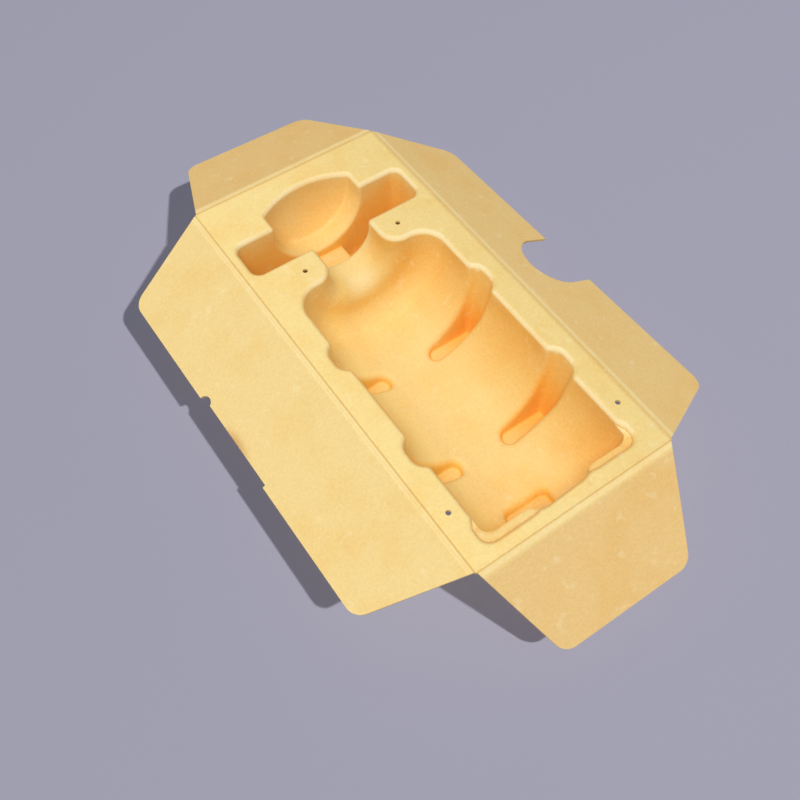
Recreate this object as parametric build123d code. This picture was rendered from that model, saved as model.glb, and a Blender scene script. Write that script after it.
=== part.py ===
from build123d import *
import os
from math import radians, tan

# Perfume bottle tray
# One piece of smooth moulded pulp board. A flat deck holds a hollow in the shape of a lying bottle,
# a cross trench for the fingers at the bottle's collar, and five flared slots whose floors are feet.
# Four flaps hang from moulded creases round the deck.
# Lengths are in millimetres and angles in degrees. While the tray is built, x runs across it, y runs
# from the base end of the deck to its cap end, and z is 0 on the deck's top face.

# Board and deck
wall = 1.0
deck_width = 84.0
deck_length = 181.6
rim_radius = 2.0

# Hollow for the bottle
axis_drop = 5.0
body_radius = 31.2
body_start = 7.6
body_corner = 5.0
shoulder_end = 125.2
shoulder_corner = 9.7
neck_radius = 12.6
neck_flare = 7.6

# Hollow for the cap
cap_radius = 19.8
cap_length = 8.0
cap_crown = 6.0
cap_corner = 2.0

# Finger trench between the neck and the cap
trench_start = 141.2
trench_width = 16.8
trench_span = 76.4
trench_corner = 3.8
trench_draft = 2.0
trench_floor_edge = 2.0
mouth_radius = 1.5

# Saddle in the middle of the trench
saddle_width = 20.2
saddle_depth = 28.9
saddle_draft = 5.0
saddle_edge = 1.6

# Slots in the sides and in the base end, given at their floors
foot_depth = 38.6
slot_draft = 6.0
slot_floor_width = 6.0
slot_floor_in = 10.6
slot_floor_out = 31.0
slot_round_end = 2.9
slot_corner = 1.5
slot_floor_edge = 1.0
slot_places = [46.0, 92.8]
seam_radius = 3.0
base_slot_width = 19.0
base_slot_start = 6.4
base_slot_end = 20.8
base_slot_corner = 2.6

# Shallow ledges round the two base corners of the bottle, which differ a little from side to side
ledge_depth = 2.4
ledge_corner = 4.5
ledge_bend = 3.0
ledge_run = 4.0
ledge_seam = 2.4
left_ledge_outer = 33.4
left_ledge_start = 3.9
left_ledge_end = 16.5
right_ledge_outer = 32.6
right_ledge_start = 4.8
right_ledge_end = 16.0

# Flaps and their creases. A flap's bend is the mean of its two ends, its twist is how much more it is
# bent at one end than at the other, and its skew is how far its outer edge is shifted along
flap_width = 40.0
flap_gap = 0.4
flap_corner = 6.5
crease_width = 2.0
crease_depth = 0.4
left_bend = 22.6
left_inset = 14.2
right_bend = 28.1
right_twist = 6.8
right_inset = 14.3
right_skew = 1.3
cap_bend = 20.8
cap_twist = -2.3
cap_inset = 13.4
cap_skew = -0.8
base_bend = 34.9
base_twist = -4.2
base_inset = 15.0
base_skew = -0.8

# Thumb notch in the right flap
notch_radius = 13.5
notch_place = 91.3
notch_reach = 16.0

# Worn stretch in the outer edge of the left flap, with a rounded nick at one end
worn_depth = 1.2
worn_start = 71.0
worn_end = 112.6
nick_radius = 2.8

# Pin holes through the deck, in two pairs
pin_hole_radius = 1.0
neck_pin_spacing = 42.8
neck_pin_place = 132.8
base_pin_spacing = 73.5
base_pin_place = 21.5

# How far a form that is cut or trimmed runs past the deck
above = 3.0


def rounded(face, corners):
    """The flat face with each listed corner rounded to its radius."""
    for x, y, radius in corners:
        corner = face.vertices().sort_by_distance((x, y, 0))[0]
        face = fillet(corner, radius)
    return face


def joined(form, addition, radius):
    """Both forms in one, with the seam where they meet rounded."""
    whole = form + addition
    return fillet(new_edges(form, addition, combined=whole), radius)


def turned_form(half):
    """A hollow turned about the bottle's axis, with upright sides from the axis up past the deck."""
    bottle_axis = Axis((0, 0, -axis_drop), (0, 1, 0))
    outline = Pos(0, 0, -axis_drop) * half
    below = revolve(outline, bottle_axis, 180)
    return below + extrude(outline + mirror(outline, Plane.YZ), axis_drop + above)


def body_form(grow):
    """The bottle's body, shoulder and neck, grown by the thickness of the wall for its outside."""
    start = body_start - grow
    side = body_radius + grow
    shoulder = shoulder_end + grow
    neck = neck_radius + grow
    trench_middle = trench_start + trench_width / 2
    half = make_face(Polyline((0, start), (side, start), (side, shoulder), (neck, shoulder),
                              (neck, trench_middle), (0, trench_middle), close=True))
    half = rounded(half, [(side, start, body_corner + grow), (side, shoulder, shoulder_corner + grow),
                          (neck, shoulder, neck_flare - grow)])
    return turned_form(half)


def cap_form(grow):
    """The cap, a short round trough with a domed end."""
    dome_radius = (cap_radius ** 2 + cap_crown ** 2) / (2 * cap_crown)
    trench_middle = trench_start + trench_width / 2
    cap_end = trench_start + trench_width + cap_length + cap_crown
    block = Rectangle(cap_radius + grow, cap_end + grow - trench_middle, align=(Align.MIN, Align.MIN))
    dome = Pos(0, cap_end - dome_radius) * Circle(dome_radius + grow)
    half = Pos(0, trench_middle) * block & dome
    half = rounded(half, [(cap_radius + grow, cap_end - cap_crown, cap_corner + grow)])
    return turned_form(half)


def flared_form(floor, depth, draft, floor_edge):
    """A pocket that flares from its floor up past the deck, with the edge of its floor rounded."""
    pocket = extrude(Pos(0, 0, -depth) * floor, depth + above, taper=-draft)
    return fillet(pocket.faces().sort_by(Axis.Z)[0].edges(), floor_edge)


def trench_form(grow):
    """The finger trench, with its saddle left standing between the two finger wells."""
    trench_middle = trench_start + trench_width / 2
    sunk = foot_depth * tan(radians(trench_draft))
    long_side = trench_span - 2 * sunk + 2 * grow
    short_side = trench_width - 2 * sunk + 2 * grow
    floor = Pos(0, trench_middle) * RectangleRounded(long_side, short_side, trench_corner - sunk + grow)
    trench = flared_form(floor, foot_depth + grow, trench_draft, trench_floor_edge + grow)
    height = foot_depth - saddle_depth
    saddle_foot = saddle_width - 2 * grow + 2 * height * tan(radians(saddle_draft))
    foot = Pos(0, trench_middle, -foot_depth - grow) * Rectangle(saddle_foot, 2 * trench_width)
    saddle = extrude(foot, height, taper=saddle_draft)
    trench = trench - saddle
    top = trench.faces().filter_by(Axis.Z).sort_by_distance((0, trench_middle, -saddle_depth - grow))[0]
    return fillet(top.edges().filter_by(Axis.Y), saddle_edge - grow)


def side_slot(place, side, grow):
    """A slot in one side of the body, round at its inner end."""
    inner = slot_floor_in - grow
    outer = slot_floor_out + grow
    low = place - slot_floor_width / 2 - grow
    high = place + slot_floor_width / 2 + grow
    floor = make_face(Polyline((inner, low), (outer, low), (outer, high), (inner, high), close=True))
    floor = rounded(floor, [(inner, low, slot_round_end + grow), (inner, high, slot_round_end + grow),
                            (outer, low, slot_corner + grow), (outer, high, slot_corner + grow)])
    slot = flared_form(floor, foot_depth + grow, slot_draft, slot_floor_edge + grow)
    return slot if side > 0 else mirror(slot, Plane.YZ)


def base_slot(grow):
    """The wide slot in the base end, which runs out through the body's end wall."""
    length = base_slot_end - base_slot_start + 2 * grow
    floor = RectangleRounded(base_slot_width + 2 * grow, length, base_slot_corner + grow)
    floor = Pos(0, (base_slot_start + base_slot_end) / 2) * floor
    return flared_form(floor, foot_depth + grow, slot_draft, slot_floor_edge + grow)


def corner_ledge(outer, start, end, side, grow):
    """A shallow step round one base corner of the body, which slants back into the body's side."""
    inner = base_slot_width / 4
    back = body_radius / 2
    slant = ledge_run / (outer - body_radius)
    x = outer + grow
    low = start - grow
    high = end + grow - ledge_run
    shape = make_face(Polyline((inner, low), (x, low), (x, high), (back, high + (x - back) * slant),
                               (inner, high), close=True))
    shape = rounded(shape, [(x, low, ledge_corner + grow), (x, high, ledge_bend + grow)])
    ledge = extrude(Pos(0, 0, -ledge_depth - grow) * shape, ledge_depth + grow + above)
    return ledge if side > 0 else mirror(ledge, Plane.YZ)


def with_ledge(form, ledge, grow):
    """The form with a ledge let in, and the two upright seams at its ends rounded."""
    whole = form + ledge
    seams = new_edges(form, ledge, combined=whole)
    upright = [edge for edge in seams if edge.bounding_box().size.Z > ledge_depth / 2]
    return fillet(upright, ledge_seam - grow)


def hollow(grow):
    """The whole hollow, or with the wall's thickness the outside of the walls round it."""
    form = body_form(grow)
    for place in slot_places:
        for side in (-1, 1):
            form = joined(form, side_slot(place, side, grow), seam_radius - grow)
    form = joined(form, base_slot(grow), seam_radius - grow)
    left_ledge = corner_ledge(left_ledge_outer, left_ledge_start, left_ledge_end, -1, grow)
    right_ledge = corner_ledge(right_ledge_outer, right_ledge_start, right_ledge_end, 1, grow)
    form = with_ledge(form, left_ledge, grow)
    form = with_ledge(form, right_ledge, grow)
    form = joined(form, trench_form(grow), mouth_radius - grow)
    return joined(form, cap_form(grow), mouth_radius - grow)


def flap_end(width, along, bend):
    """The flap's section at one end of its hinge, bent down."""
    section = Pos(width / 2, -wall / 2) * Rectangle(width, wall)
    return Pos(0, along, 0) * Rot(0, bend, 0) * Rot(90, 0, 0) * section


def flap(hinge, bend, twist, inset, skew, place):
    """A flap hung from its hinge, put at its side of the deck."""
    half = hinge / 2 - flap_gap
    sheet = loft([flap_end(flap_width + above, -half, bend - twist / 2),
                  flap_end(flap_width + above, half, bend + twist / 2)], ruled=True)
    low = -hinge / 2 + inset + skew
    high = hinge / 2 - inset + skew
    outline = make_face(Polyline((-above, -half), (0, -half), (flap_width, low), (flap_width, high),
                                 (0, half), (-above, half), close=True))
    outline = rounded(outline, [(flap_width, low, flap_corner), (flap_width, high, flap_corner)])
    return place * (sheet & Rot(0, bend, 0) * extrude(outline, flap_width, both=True))


def crease(hinge, place):
    """The shallow round channel pressed along a flap's hinge."""
    radius = (crease_width ** 2 / 4 + crease_depth ** 2) / (2 * crease_depth)
    return place * Pos(0, 0, radius - crease_depth) * Rot(90, 0, 0) * Cylinder(radius, hinge)


def pin_hole(x, y):
    """One of the small holes through the deck."""
    return Pos(x, y, -wall / 2) * Cylinder(pin_hole_radius, 2 * wall)


def thumb_notch():
    """The round-bottomed notch in the outer edge of the right flap."""
    centre = (notch_reach + notch_radius, notch_place - deck_length / 2)
    open_side = Rectangle(flap_width, 2 * notch_radius, align=(Align.MIN, Align.CENTER))
    shape = Pos(*centre) * (Circle(notch_radius) + open_side)
    return right * Rot(0, right_bend, 0) * extrude(shape, flap_width / 2, both=True)


def worn_edge():
    """The worn stretch and the nick in the outer edge of the left flap."""
    middle = deck_length / 2
    stretch = Pos(flap_width - worn_depth, middle - worn_end) * Rectangle(
        flap_width, worn_end - worn_start, align=(Align.MIN, Align.MIN))
    nick = Pos(flap_width, middle - worn_end) * Circle(nick_radius)
    return left * Rot(0, left_bend, 0) * extrude(stretch + nick, wall * 2, both=True)


def moulded_deck():
    """The deck with the walls of the hollow below it and a rounded rim round its mouth."""
    deck = Pos(0, deck_length / 2, -wall / 2) * Box(deck_width, deck_length, wall)
    trim = Pos(0, deck_length / 2, -wall / 2) * Box(
        deck_width, deck_length, 2 * foot_depth, align=(Align.CENTER, Align.CENTER, Align.MAX))
    walls = hollow(wall) & trim
    whole = deck + walls
    whole = fillet(new_edges(deck, walls, combined=whole), rim_radius - wall) - hollow(0)
    top = whole.faces().filter_by(Axis.Z).sort_by(Axis.Z)[-1]
    return fillet(top.inner_wires()[0].edges(), rim_radius)


right = Pos(deck_width / 2, deck_length / 2, 0)
left = Pos(-deck_width / 2, deck_length / 2, 0) * Rot(0, 0, 180)
cap_end = Pos(0, deck_length, 0) * Rot(0, 0, 90)
base_end = Rot(0, 0, -90)

tray = moulded_deck()
tray += flap(deck_length, right_bend, right_twist, right_inset, right_skew, right)
tray += flap(deck_length, left_bend, 0, left_inset, 0, left)
tray += flap(deck_width, cap_bend, cap_twist, cap_inset, cap_skew, cap_end)
tray += flap(deck_width, base_bend, base_twist, base_inset, base_skew, base_end)
for place in (right, left):
    tray -= crease(deck_length, place)
for place in (cap_end, base_end):
    tray -= crease(deck_width, place)
tray -= thumb_notch()
tray -= worn_edge()
for side in (-1, 1):
    tray -= pin_hole(side * neck_pin_spacing / 2, neck_pin_place)
    tray -= pin_hole(side * base_pin_spacing / 2, base_pin_place)

# The tray stands on its feet, with its origin under the middle of its outline
box = tray.bounding_box()
tray = Pos(-box.center().X, -box.center().Y, -box.min.Z) * tray
print("tray", tray.is_valid, tray.volume, tray.bounding_box())

os.makedirs("parts", exist_ok=True)
export_step(tray, "parts/tray.step")
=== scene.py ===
import math

import bmesh
import bpy
from mathutils import Matrix, Vector
from mathutils.bvhtree import BVHTree


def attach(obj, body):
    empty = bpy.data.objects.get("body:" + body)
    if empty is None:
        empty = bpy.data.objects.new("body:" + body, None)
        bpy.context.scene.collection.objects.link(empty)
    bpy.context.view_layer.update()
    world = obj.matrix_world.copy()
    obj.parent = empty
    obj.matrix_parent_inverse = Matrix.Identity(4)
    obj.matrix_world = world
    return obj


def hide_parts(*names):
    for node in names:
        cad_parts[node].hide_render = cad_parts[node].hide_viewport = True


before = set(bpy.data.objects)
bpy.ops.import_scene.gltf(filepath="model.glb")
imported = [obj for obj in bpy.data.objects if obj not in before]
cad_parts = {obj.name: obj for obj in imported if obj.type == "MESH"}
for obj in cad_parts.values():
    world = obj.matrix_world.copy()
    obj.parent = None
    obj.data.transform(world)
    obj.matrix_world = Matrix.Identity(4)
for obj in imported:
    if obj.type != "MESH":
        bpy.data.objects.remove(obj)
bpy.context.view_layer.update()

bpy.context.scene.view_settings.view_transform = "Standard"

# One millimetre in metres. The tray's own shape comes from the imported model.
MM = 0.001

# The drawing's own place, in millimetres: x across the deck from its middle line, y from the base
# end of the deck to the cap end, z up from the top of the deck
DECK_HALF_WIDTH, DECK_LENGTH = 42.0, 181.6
DRAWING_SHIFT = (0.3836, -92.9529, 39.6)
AXIS_DROP = 5.0
HOLLOW_HALF_WIDTH = 39.0
DEGREES_PER_RADIAN = 57.3

# The board's mesh, in millimetres and degrees
MERGE_DISTANCE = 0.002
LONGEST_SIDE = 3.2
MOST_ROUNDS = 9
CREASE_REACH = 1.2
SHARP_ANGLE = 32

# How the openness to the sky is counted: rays from each point, from a little off the board
SKY_RAYS = 40
SKY_START = 0.15
SKY_REACH = 80

FLOOR_HALF_WIDTH = 3.0


def linear(red, green, blue):
    """A colour as shown on screen, from 0 to 255, as the linear colour the shaders take."""
    def one(value):
        value /= 255
        return value / 12.92 if value <= 0.04045 else ((value + 0.055) / 1.055) ** 2.4
    return (one(red), one(green), one(blue), 1.0)


# Camera: high over the base end, to the left of the tray, looking down and turned a little
def add_camera():
    data = bpy.data.cameras.new("tray_camera")
    data.sensor_width = 36
    data.lens = 42.05
    data.clip_start = 0.01
    camera = bpy.data.objects.new("tray_camera", data)
    bpy.context.scene.collection.objects.link(camera)
    right = Vector((0.8177, -0.5756, 0.0117))
    up = Vector((0.4852, 0.6999, 0.5242))
    back = Vector((-0.3099, -0.4229, 0.8515))
    turn = Matrix((right, up, back)).transposed()
    camera.matrix_world = Matrix.Translation(Vector((-125.12, -164.75, 315.8)) * MM) @ turn.to_4x4()
    bpy.context.scene.camera = camera


# Light: each lamp is linked, so that it lights the tray alone or the floor alone. The tray has one
# broad soft lamp, high on the left and front, and the even light of the room. The floor has a small
# lamp far off past the base end and to the right, which throws the tray's shadow, and a broad one
# that the tray doesn't block, which keeps that shadow pale.
def add_lamp(name, place, size, energy, receivers, kind="AREA"):
    lamp = bpy.data.lights.new(name, kind)
    if kind == "AREA":
        lamp.shape = "DISK"
        lamp.size = size
    lamp.energy = energy
    holder = bpy.data.objects.new(name, lamp)
    place = Vector(place)
    holder.matrix_world = Matrix.Translation(place) @ (-place).to_track_quat("-Z", "Y").to_matrix().to_4x4()
    bpy.context.scene.collection.objects.link(holder)
    lit = bpy.data.collections.new(name + "_lights")
    for piece in receivers:
        lit.objects.link(piece)
    holder.light_linking.receiver_collection = lit
    return holder


def add_room():
    world = bpy.data.worlds.new("room")
    world.use_nodes = True
    back = world.node_tree.nodes["Background"]
    back.inputs["Color"].default_value = (0.97, 0.98, 1.0, 1)
    back.inputs["Strength"].default_value = 0.06
    bpy.context.scene.world = world


def add_floor():
    mesh = bpy.data.meshes.new("floor")
    s = FLOOR_HALF_WIDTH
    mesh.from_pydata([(-s, -s, 0), (s, -s, 0), (s, s, 0), (-s, s, 0)], [], [(0, 1, 2, 3)])
    floor = bpy.data.objects.new("floor", mesh)
    bpy.context.scene.collection.objects.link(floor)
    material = bpy.data.materials.new("grey_floor")
    material.use_nodes = True
    shader = material.node_tree.nodes["Principled BSDF"]
    shader.inputs["Base Color"].default_value = linear(160, 158, 172)
    shader.inputs["Roughness"].default_value = 0.9
    shader.inputs["Specular IOR Level"].default_value = 0.1
    mesh.materials.append(material)
    return floor


# The board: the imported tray's own surface, cut finer near the hollow so that it can be eased at the
# base end's rim and the shoulder, and can carry how open each point is to the sky
def drawn(point):
    """A mesh point in the drawing's place, in millimetres."""
    return point / MM - Vector(DRAWING_SHIFT)


def smooth(value, low, high):
    """0 below low, 1 above high, smooth between."""
    share = min(max((value - low) / (high - low), 0), 1)
    return share * share * (3 - 2 * share)


def refined(points, triangles, length):
    """The triangles near the hollow, cut in two, three or four until no side there is over the length."""
    def middle(a, b):
        key = (min(a, b), max(a, b))
        if key not in middles:
            point = (points[a] + points[b]) / 2
            x, y, _ = drawn(point)
            near = abs(x) < HOLLOW_HALF_WIDTH and 0.5 < y < DECK_LENGTH - 4
            middles[key] = None
            if near and (points[a] - points[b]).length > length:
                middles[key] = len(points)
                points.append(point)
        return middles[key]

    for _ in range(MOST_ROUNDS):
        middles, cut = {}, []
        before = len(points)
        for a, b, c in triangles:
            sides = [middle(a, b), middle(b, c), middle(c, a)]
            count = 3 - sides.count(None)
            if count == 0:
                cut.append((a, b, c))
                continue
            while count < 3 and not (sides[0] is not None and sides[2] is None):
                a, b, c, sides = b, c, a, sides[1:] + sides[:1]
            ab, bc, ca = sides
            if count == 1:
                cut += [(a, ab, c), (ab, b, c)]
            elif count == 2 and (points[a] - points[bc]).length < (points[ab] - points[c]).length:
                cut += [(ab, b, bc), (a, ab, bc), (a, bc, c)]
            elif count == 2:
                cut += [(ab, b, bc), (a, ab, c), (ab, bc, c)]
            else:
                cut += [(a, ab, ca), (ab, b, bc), (ca, bc, c), (ab, bc, ca)]
        triangles = cut
        if len(points) == before:
            break
    return triangles


def fine_board(source):
    """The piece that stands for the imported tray: its own surface, refined and eased."""
    mesh = source.data.copy()
    shell = bmesh.new()
    shell.from_mesh(mesh)
    bmesh.ops.remove_doubles(shell, verts=shell.verts, dist=MERGE_DISTANCE * MM)
    bmesh.ops.triangulate(shell, faces=shell.faces)
    shell.verts.index_update()
    points = [point.co.copy() for point in shell.verts]
    triangles = [tuple(point.index for point in face.verts) for face in shell.faces]
    triangles = refined(points, triangles, LONGEST_SIDE * MM)
    shell.clear()
    corners = [shell.verts.new(point) for point in points]
    for triangle in triangles:
        shell.faces.new([corners[k] for k in triangle])
    shell.verts.index_update()
    straighten_base_rim(shell)
    soften_shoulder(shell)
    shell.normal_update()
    layers = {"open_sky": open_sky(shell), "rim_highlight_and_shade": rim_highlight_and_shade(shell)}
    shell.to_mesh(mesh)
    shell.free()
    for name, values in layers.items():
        mesh.attributes.new(name, "FLOAT", "POINT").data.foreach_set("value", values)
    for face in mesh.polygons:
        x, y, _ = drawn(face.center)
        across = abs(x) < DECK_HALF_WIDTH + CREASE_REACH
        face.use_smooth = across and -CREASE_REACH < y < DECK_LENGTH + CREASE_REACH
    mesh.set_sharp_from_angle(angle=math.radians(SHARP_ANGLE))
    board = bpy.data.objects.new("tray_board", mesh)
    bpy.context.scene.collection.objects.link(board)
    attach(board, "root")
    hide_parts("tray")
    return board


# The base end's rim, in millimetres: a place across the deck, where the flat edge is there, and how
# far it moves in from the base end
BASE_RIM = [(-37, 8, 0.4), (-33, 4.0, 1.2), (-30, 2.3, 1.6), (-14, 2.2, 1.6), (-11.5, 2.0, 2.0),
            (-9.5, 1.3, 2.7), (-3, 1.25, 3.2), (6, 1.25, 3.55), (10, 1.3, 3.5), (12, 2.4, 2.5),
            (14, 3.1, 1.9), (28, 3.1, 1.8), (31, 4.0, 1.6), (34, 6.5, 0.9), (37, 9, 0.3)]
RIM_HALF_WIDTH = 37
RIM_START, RIM_END = 1, 20
RIM_DEPTH = -18

# The shoulder's easing, in millimetres: from and to along the deck, the half width and the least
# depth, and how often and how far each point goes toward its neighbours
SHOULDER_START, SHOULDER_END = 119, 138
SHOULDER_HALF_WIDTH = 30
SHOULDER_DEPTH = -3
SHOULDER_ROUNDS, SHOULDER_FACTOR = 10, 0.5


def straighten_base_rim(shell):
    """Carries the rim straight across the base end, over the slot that runs out under it."""
    for point in shell.verts:
        x, y, z = drawn(point.co)
        if abs(x) >= RIM_HALF_WIDTH or not RIM_START < y < RIM_END or z < RIM_DEPTH:
            continue
        for (x0, edge0, move0), (x1, edge1, move1) in zip(BASE_RIM, BASE_RIM[1:]):
            if x0 <= x <= x1:
                share = (x - x0) / (x1 - x0)
                edge = edge0 + (edge1 - edge0) * share
                move = move0 + (move1 - move0) * share
        move *= min((y - RIM_START) / (edge - RIM_START), 1) * (1 - smooth(y, edge + 2.2, edge + 10))
        point.co.y += move * smooth(z, RIM_DEPTH, -2) * MM


def soften_shoulder(shell):
    """Takes the seam out of the sweep from the body's shoulder up into the neck."""
    zone = []
    for point in shell.verts:
        x, y, z = drawn(point.co)
        if abs(x) < SHOULDER_HALF_WIDTH and SHOULDER_START < y < SHOULDER_END and z < SHOULDER_DEPTH:
            zone.append(point)
    for _ in range(SHOULDER_ROUNDS):
        bmesh.ops.smooth_vert(shell, verts=zone, factor=SHOULDER_FACTOR,
                              use_axis_x=True, use_axis_y=True, use_axis_z=True)


def rim_highlight_and_shade(shell):
    """For the rims' rounding, where painted light and shade go: 1 where it faces the base end's left and
    takes a painted highlight, -1 where it faces away and takes painted shade.
    """
    lips = []
    for point in shell.verts:
        x, y, z = drawn(point.co)
        normal = point.normal
        facing = -(0.59 * normal.x + 0.81 * normal.y)
        in_deck = abs(x) < DECK_HALF_WIDTH - 2 and 1 < y < DECK_LENGTH - 1
        rounding = in_deck and -2.6 < z < -0.02 and 0.15 < normal.z < 0.99
        lips.append(smooth(facing, 0.05, 0.5) - smooth(-facing, 0.05, 0.5) if rounding else 0.0)
    return lips


def open_sky(shell):
    """For each point of the board, the share of the half space in front of it that is open."""
    tree = BVHTree.FromBMesh(shell)
    rays = []
    for k in range(SKY_RAYS):
        lift = math.sqrt(1 - (k + 0.5) / SKY_RAYS)
        spread = math.sqrt(1 - lift * lift)
        turn = k * math.pi * (3 - math.sqrt(5))
        rays.append(Vector((spread * math.cos(turn), spread * math.sin(turn), lift)))
    shade = []
    for point in shell.verts:
        normal = point.normal
        x, y, z = drawn(point.co)
        if z > -0.2 or abs(x) > DECK_HALF_WIDTH - 1 or not 1 < y < DECK_LENGTH - 1:
            shade.append(1.0)
            continue
        to_world = normal.to_track_quat("Z", "Y").to_matrix()
        start = point.co + normal * SKY_START * MM
        hits = sum(tree.ray_cast(start, to_world @ ray, SKY_REACH * MM)[0] is not None for ray in rays)
        shade.append(1 - hits / SKY_RAYS)
    return shade


class Web:
    """Short ways to add nodes to a material and to wire them."""

    def __init__(self, tree):
        self.nodes, self.links = tree.nodes, tree.links

    def add(self, kind, inputs=(), **settings):
        node = self.nodes.new(kind)
        for name, value in settings.items():
            setattr(node, name, value)
        for place, value in dict(inputs).items():
            self.give(node.inputs[place], value)
        return node

    def give(self, socket, value):
        if isinstance(value, bpy.types.NodeSocket):
            self.links.new(value, socket)
        else:
            socket.default_value = value

    def math(self, operation, *values):
        return self.add("ShaderNodeMath", enumerate(values), operation=operation).outputs[0]

    def rise(self, value, low, high):
        """0 below low, 1 above high, smooth between (or falling, where low is above high)."""
        node = self.add("ShaderNodeMapRange", interpolation_type="SMOOTHSTEP")
        for name, number in (("Value", value), ("From Min", min(low, high)), ("From Max", max(low, high)),
                             ("To Min", float(low > high)), ("To Max", float(low < high))):
            self.give(node.inputs[name], number)
        return node.outputs["Result"]

    def band(self, value, low, full, full_end, end):
        """1 between full and full_end, 0 outside low and end."""
        return self.math("MULTIPLY", self.rise(value, low, full), self.rise(value, end, full_end))

    def most(self, values):
        top = values[0]
        for value in values[1:]:
            top = self.math("MAXIMUM", top, value)
        return top

    def mix(self, share, first, second, blend="MIX"):
        node = self.add("ShaderNodeMix", data_type="RGBA", blend_type=blend)
        self.give(node.inputs[0], share)
        self.give(node.inputs[6], first)
        self.give(node.inputs[7], second)
        return node.outputs[2]

    def noise(self, place, scale, detail=3.0, rough=0.55):
        inputs = {"Vector": place, "Scale": scale, "Detail": detail, "Roughness": rough}
        return self.add("ShaderNodeTexNoise", inputs).outputs["Fac"]

    def tint(self, share, colour, factors):
        """The colour multiplied by three factors, as far as the share goes."""
        return self.mix(share, colour, (*factors, 1), "MULTIPLY")


def pulp_material():
    """Pressed pulp board: pale on the deck, warmer in the mould's depths by painted shade, creased along the
    flaps with painted shade and painted highlights.
    """
    material = bpy.data.materials.new("pulp_board")
    material.use_nodes = True
    web = Web(material.node_tree)
    shader = web.nodes["Principled BSDF"]
    shader.inputs["Roughness"].default_value = 0.78
    shader.inputs["Specular IOR Level"].default_value = 0.25

    place = web.add("ShaderNodeTexCoord").outputs["Object"]
    to_drawing = {0: place, 1: (1000, 1000, 1000), 2: [-s for s in DRAWING_SHIFT]}
    drawn_place = web.add("ShaderNodeVectorMath", to_drawing, operation="MULTIPLY_ADD").outputs[0]
    apart = web.add("ShaderNodeSeparateXYZ", {0: drawn_place})
    x, y, z = apart.outputs[0], apart.outputs[1], apart.outputs[2]

    # How far outside the deck a point is, over each of its four edges
    left = web.math("SUBTRACT", web.math("MULTIPLY", x, -1.0), DECK_HALF_WIDTH)
    right = web.math("SUBTRACT", x, DECK_HALF_WIDTH)
    cap = web.math("SUBTRACT", y, DECK_LENGTH)
    base = web.math("MULTIPLY", y, -1.0)

    # The hollows: painted shade, warmer where less of the sky is open
    sky = web.add("ShaderNodeAttribute", attribute_name="open_sky").outputs["Fac"]
    ramp = web.add("ShaderNodeValToRGB")
    ramp.color_ramp.interpolation = "EASE"
    ramp.color_ramp.elements[0].position = 0.15
    ramp.color_ramp.elements[0].color = linear(254, 204, 104)
    ramp.color_ramp.elements[1].position = 0.60
    ramp.color_ramp.elements[1].color = linear(247, 218, 146)
    web.give(ramp.inputs["Fac"], sky)
    colour = ramp.outputs["Color"]

    # The bottle's body: painted shade makes its right wall and its shoulder more orange, and painted light
    # makes the left wall a little paler
    below_axis = web.math("MULTIPLY_ADD", z, -1.0, -AXIS_DROP)
    turn = web.math("MULTIPLY", web.math("ARCTAN2", x, below_axis), DEGREES_PER_RADIAN)
    inside = web.math("MULTIPLY", web.rise(z, -1.0, -3.0), web.rise(y, 141.0, 136.0))
    inside = web.math("MULTIPLY", inside, web.math("COMPARE", x, 0.0, HOLLOW_HALF_WIDTH))
    inside = web.math("MULTIPLY", inside, web.math("GREATER_THAN", y, 4.0))
    right_wall_shade = web.math("MULTIPLY", inside, web.rise(turn, 22.0, 66.0))
    colour = web.tint(right_wall_shade, colour, (0.99, 0.85, 0.64))
    left_wall_light = web.math("MULTIPLY", inside, web.band(turn, -64.0, -46.0, -36.0, -18.0))
    colour = web.tint(left_wall_light, colour, (1.07, 1.08, 1.04))
    shoulder = web.math("MULTIPLY", inside, web.band(y, 116.0, 126.0, 129.0, 136.0))
    colour = web.tint(shoulder, colour, (0.94, 0.92, 0.88))

    # Painted light and shade: the deck is a little paler on its left side and a little deeper on its right
    on_deck = web.rise(z, -0.6, -0.1)
    colour = web.tint(web.math("MULTIPLY", on_deck, web.rise(x, 44.0, -44.0)), colour, (1.05, 1.06, 1.05))
    colour = web.tint(web.math("MULTIPLY", on_deck, web.rise(x, 0.0, 44.0)), colour, (0.95, 0.95, 0.92))

    # The rims: painted highlights on the far side, warm painted shade on the near side
    rim_facing = web.add("ShaderNodeAttribute", attribute_name="rim_highlight_and_shade").outputs["Fac"]
    colour = web.mix(web.math("MULTIPLY", web.rise(rim_facing, 0.0, 1.0), 0.80), colour, linear(255, 236, 184))
    colour = web.mix(web.math("MULTIPLY", web.rise(rim_facing, 0.0, -1.0), 0.55), colour, linear(238, 186, 108))

    # The flaps: painted shade, each flap darkened its own way for how the light falls on it and made a little
    # warmer than the deck
    for outside, factors in ((left, (0.97, 0.96, 0.97)), (right, (0.95, 0.88, 0.86)),
                             (cap, (0.90, 0.81, 0.77)), (base, (0.91, 0.82, 0.80))):
        colour = web.tint(web.rise(outside, 1.6, 3.4), colour, factors)

    # The pressed creases: painted shade as a brown line at the deck's edge and a painted highlight as a pale
    # strip beside it on the flap
    line = web.most([web.band(left, -0.4, 0.0, 0.2, 0.6), web.band(right, -0.6, 0.0, 0.4, 0.9),
                     web.band(cap, -0.5, -0.2, 0.2, 0.8), web.band(base, -0.5, -0.15, 0.15, 0.45)])
    strip = web.most([web.band(left, 0.5, 0.8, 1.0, 1.4), web.band(left, 1.4, 1.8, 2.0, 2.4),
                      web.band(right, 0.7, 1.4, 2.0, 3.1), web.band(cap, 0.5, 1.4, 2.0, 3.4),
                      web.band(base, 0.3, 0.8, 1.6, 2.1)])
    colour = web.mix(web.math("MULTIPLY", line, 0.55), colour, linear(206, 164, 98))
    colour = web.mix(web.math("MULTIPLY", strip, 0.60), colour, linear(255, 229, 168))
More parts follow.
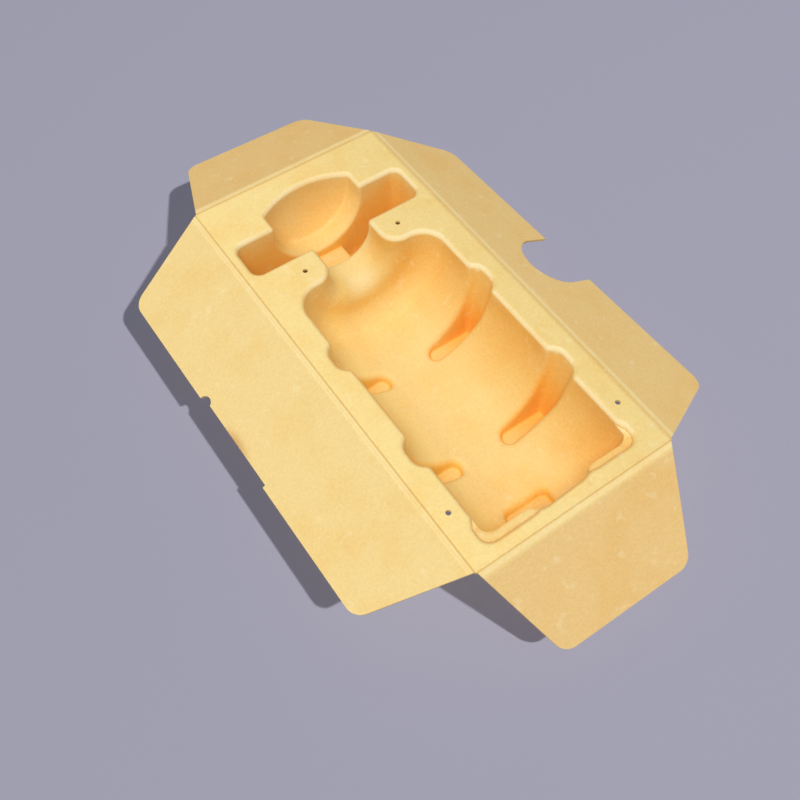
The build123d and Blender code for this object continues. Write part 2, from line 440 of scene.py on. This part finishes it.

    # Single marks: a brown patch of painted shade in the recess and a dark painted shadow in the nick at the
    # left flap's edge, and a painted highlight at the foot of the neck
    def spot(centre, reach, stretch):
        offset = web.add("ShaderNodeVectorMath", {0: drawn_place, 1: centre}, operation="SUBTRACT").outputs[0]
        offset = web.add("ShaderNodeVectorMath", {0: offset, 1: stretch}, operation="MULTIPLY").outputs[0]
        far = web.add("ShaderNodeVectorMath", {0: offset}, operation="LENGTH").outputs["Value"]
        return web.rise(far, reach, 0.0)

    edge_shade = spot((-79.0, 91.0, -15.0), 11.0, (2.2, 0.9, 1.0))
    colour = web.mix(web.math("MULTIPLY", edge_shade, 0.75), colour, linear(196, 134, 70))
    nick_shadow = spot((-80.0, 112.5, -16.0), 3.4, (1.2, 0.9, 1.0))
    colour = web.mix(nick_shadow, colour, linear(52, 46, 30))
    neck_foot_highlight = spot((1.0, 128.5, -16.0), 9.0, (1.0, 1.0, 0.8))
    colour = web.mix(web.math("MULTIPLY", neck_foot_highlight, 0.55), colour, linear(255, 238, 186))

    # Mottling: warm clouds and pale flecks in the pulp, and a fine grain
    clouds = web.noise(place, 55.0, 5.0, 0.6)
    colour = web.tint(web.math("MULTIPLY", web.rise(clouds, 0.42, 0.72), 0.75), colour, (0.985, 0.90, 0.76))
    flecks = web.noise(place, 210.0, 3.0, 0.5)
    colour = web.mix(web.math("MULTIPLY", web.rise(flecks, 0.60, 0.74), 0.22), colour, linear(255, 240, 196))
    grain = web.noise(place, 1000.0, 3.0)
    bright = web.math("MULTIPLY_ADD", grain, 0.24, 0.90)
    grey = web.add("ShaderNodeCombineXYZ", {0: bright, 1: bright, 2: bright}).outputs[0]
    colour = web.add("ShaderNodeVectorMath", {0: colour, 1: grey}, operation="MULTIPLY").outputs[0]

    # No surface gives back more light than falls on it
    colour = web.add("ShaderNodeVectorMath", {0: colour, 1: (1, 1, 1)}, operation="MINIMUM").outputs[0]
    web.give(shader.inputs["Base Color"], colour)

    bump = web.add("ShaderNodeBump", {"Height": grain, "Strength": 0.25, "Distance": 0.0003})
    web.give(shader.inputs["Normal"], bump.outputs["Normal"])
    return material


add_camera()
add_room()
floor = add_floor()
board = fine_board(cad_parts["tray"])
board.data.materials.clear()
board.data.materials.append(pulp_material())
add_lamp("tray_lamp", (-0.80, -0.64, 2.40), 1.1, 38.8, [board])
room_light = add_lamp("room_light", (0.0, 0.0, 3.0), None, 1.25, [board], "SUN")
room_light.data.angle = math.radians(180)
add_lamp("floor_lamp", (0.90, -3.56, 5.20), 0.20, 310.0, [floor])
fill = add_lamp("floor_fill", (0.3, 0.2, 2.8), 1.0, 27.0, [floor])
fill.data.color = (0.95, 0.99, 1.12)
only_floor = bpy.data.collections.new("floor_fill_shadows")
only_floor.objects.link(floor)
fill.light_linking.blocker_collection = only_floor
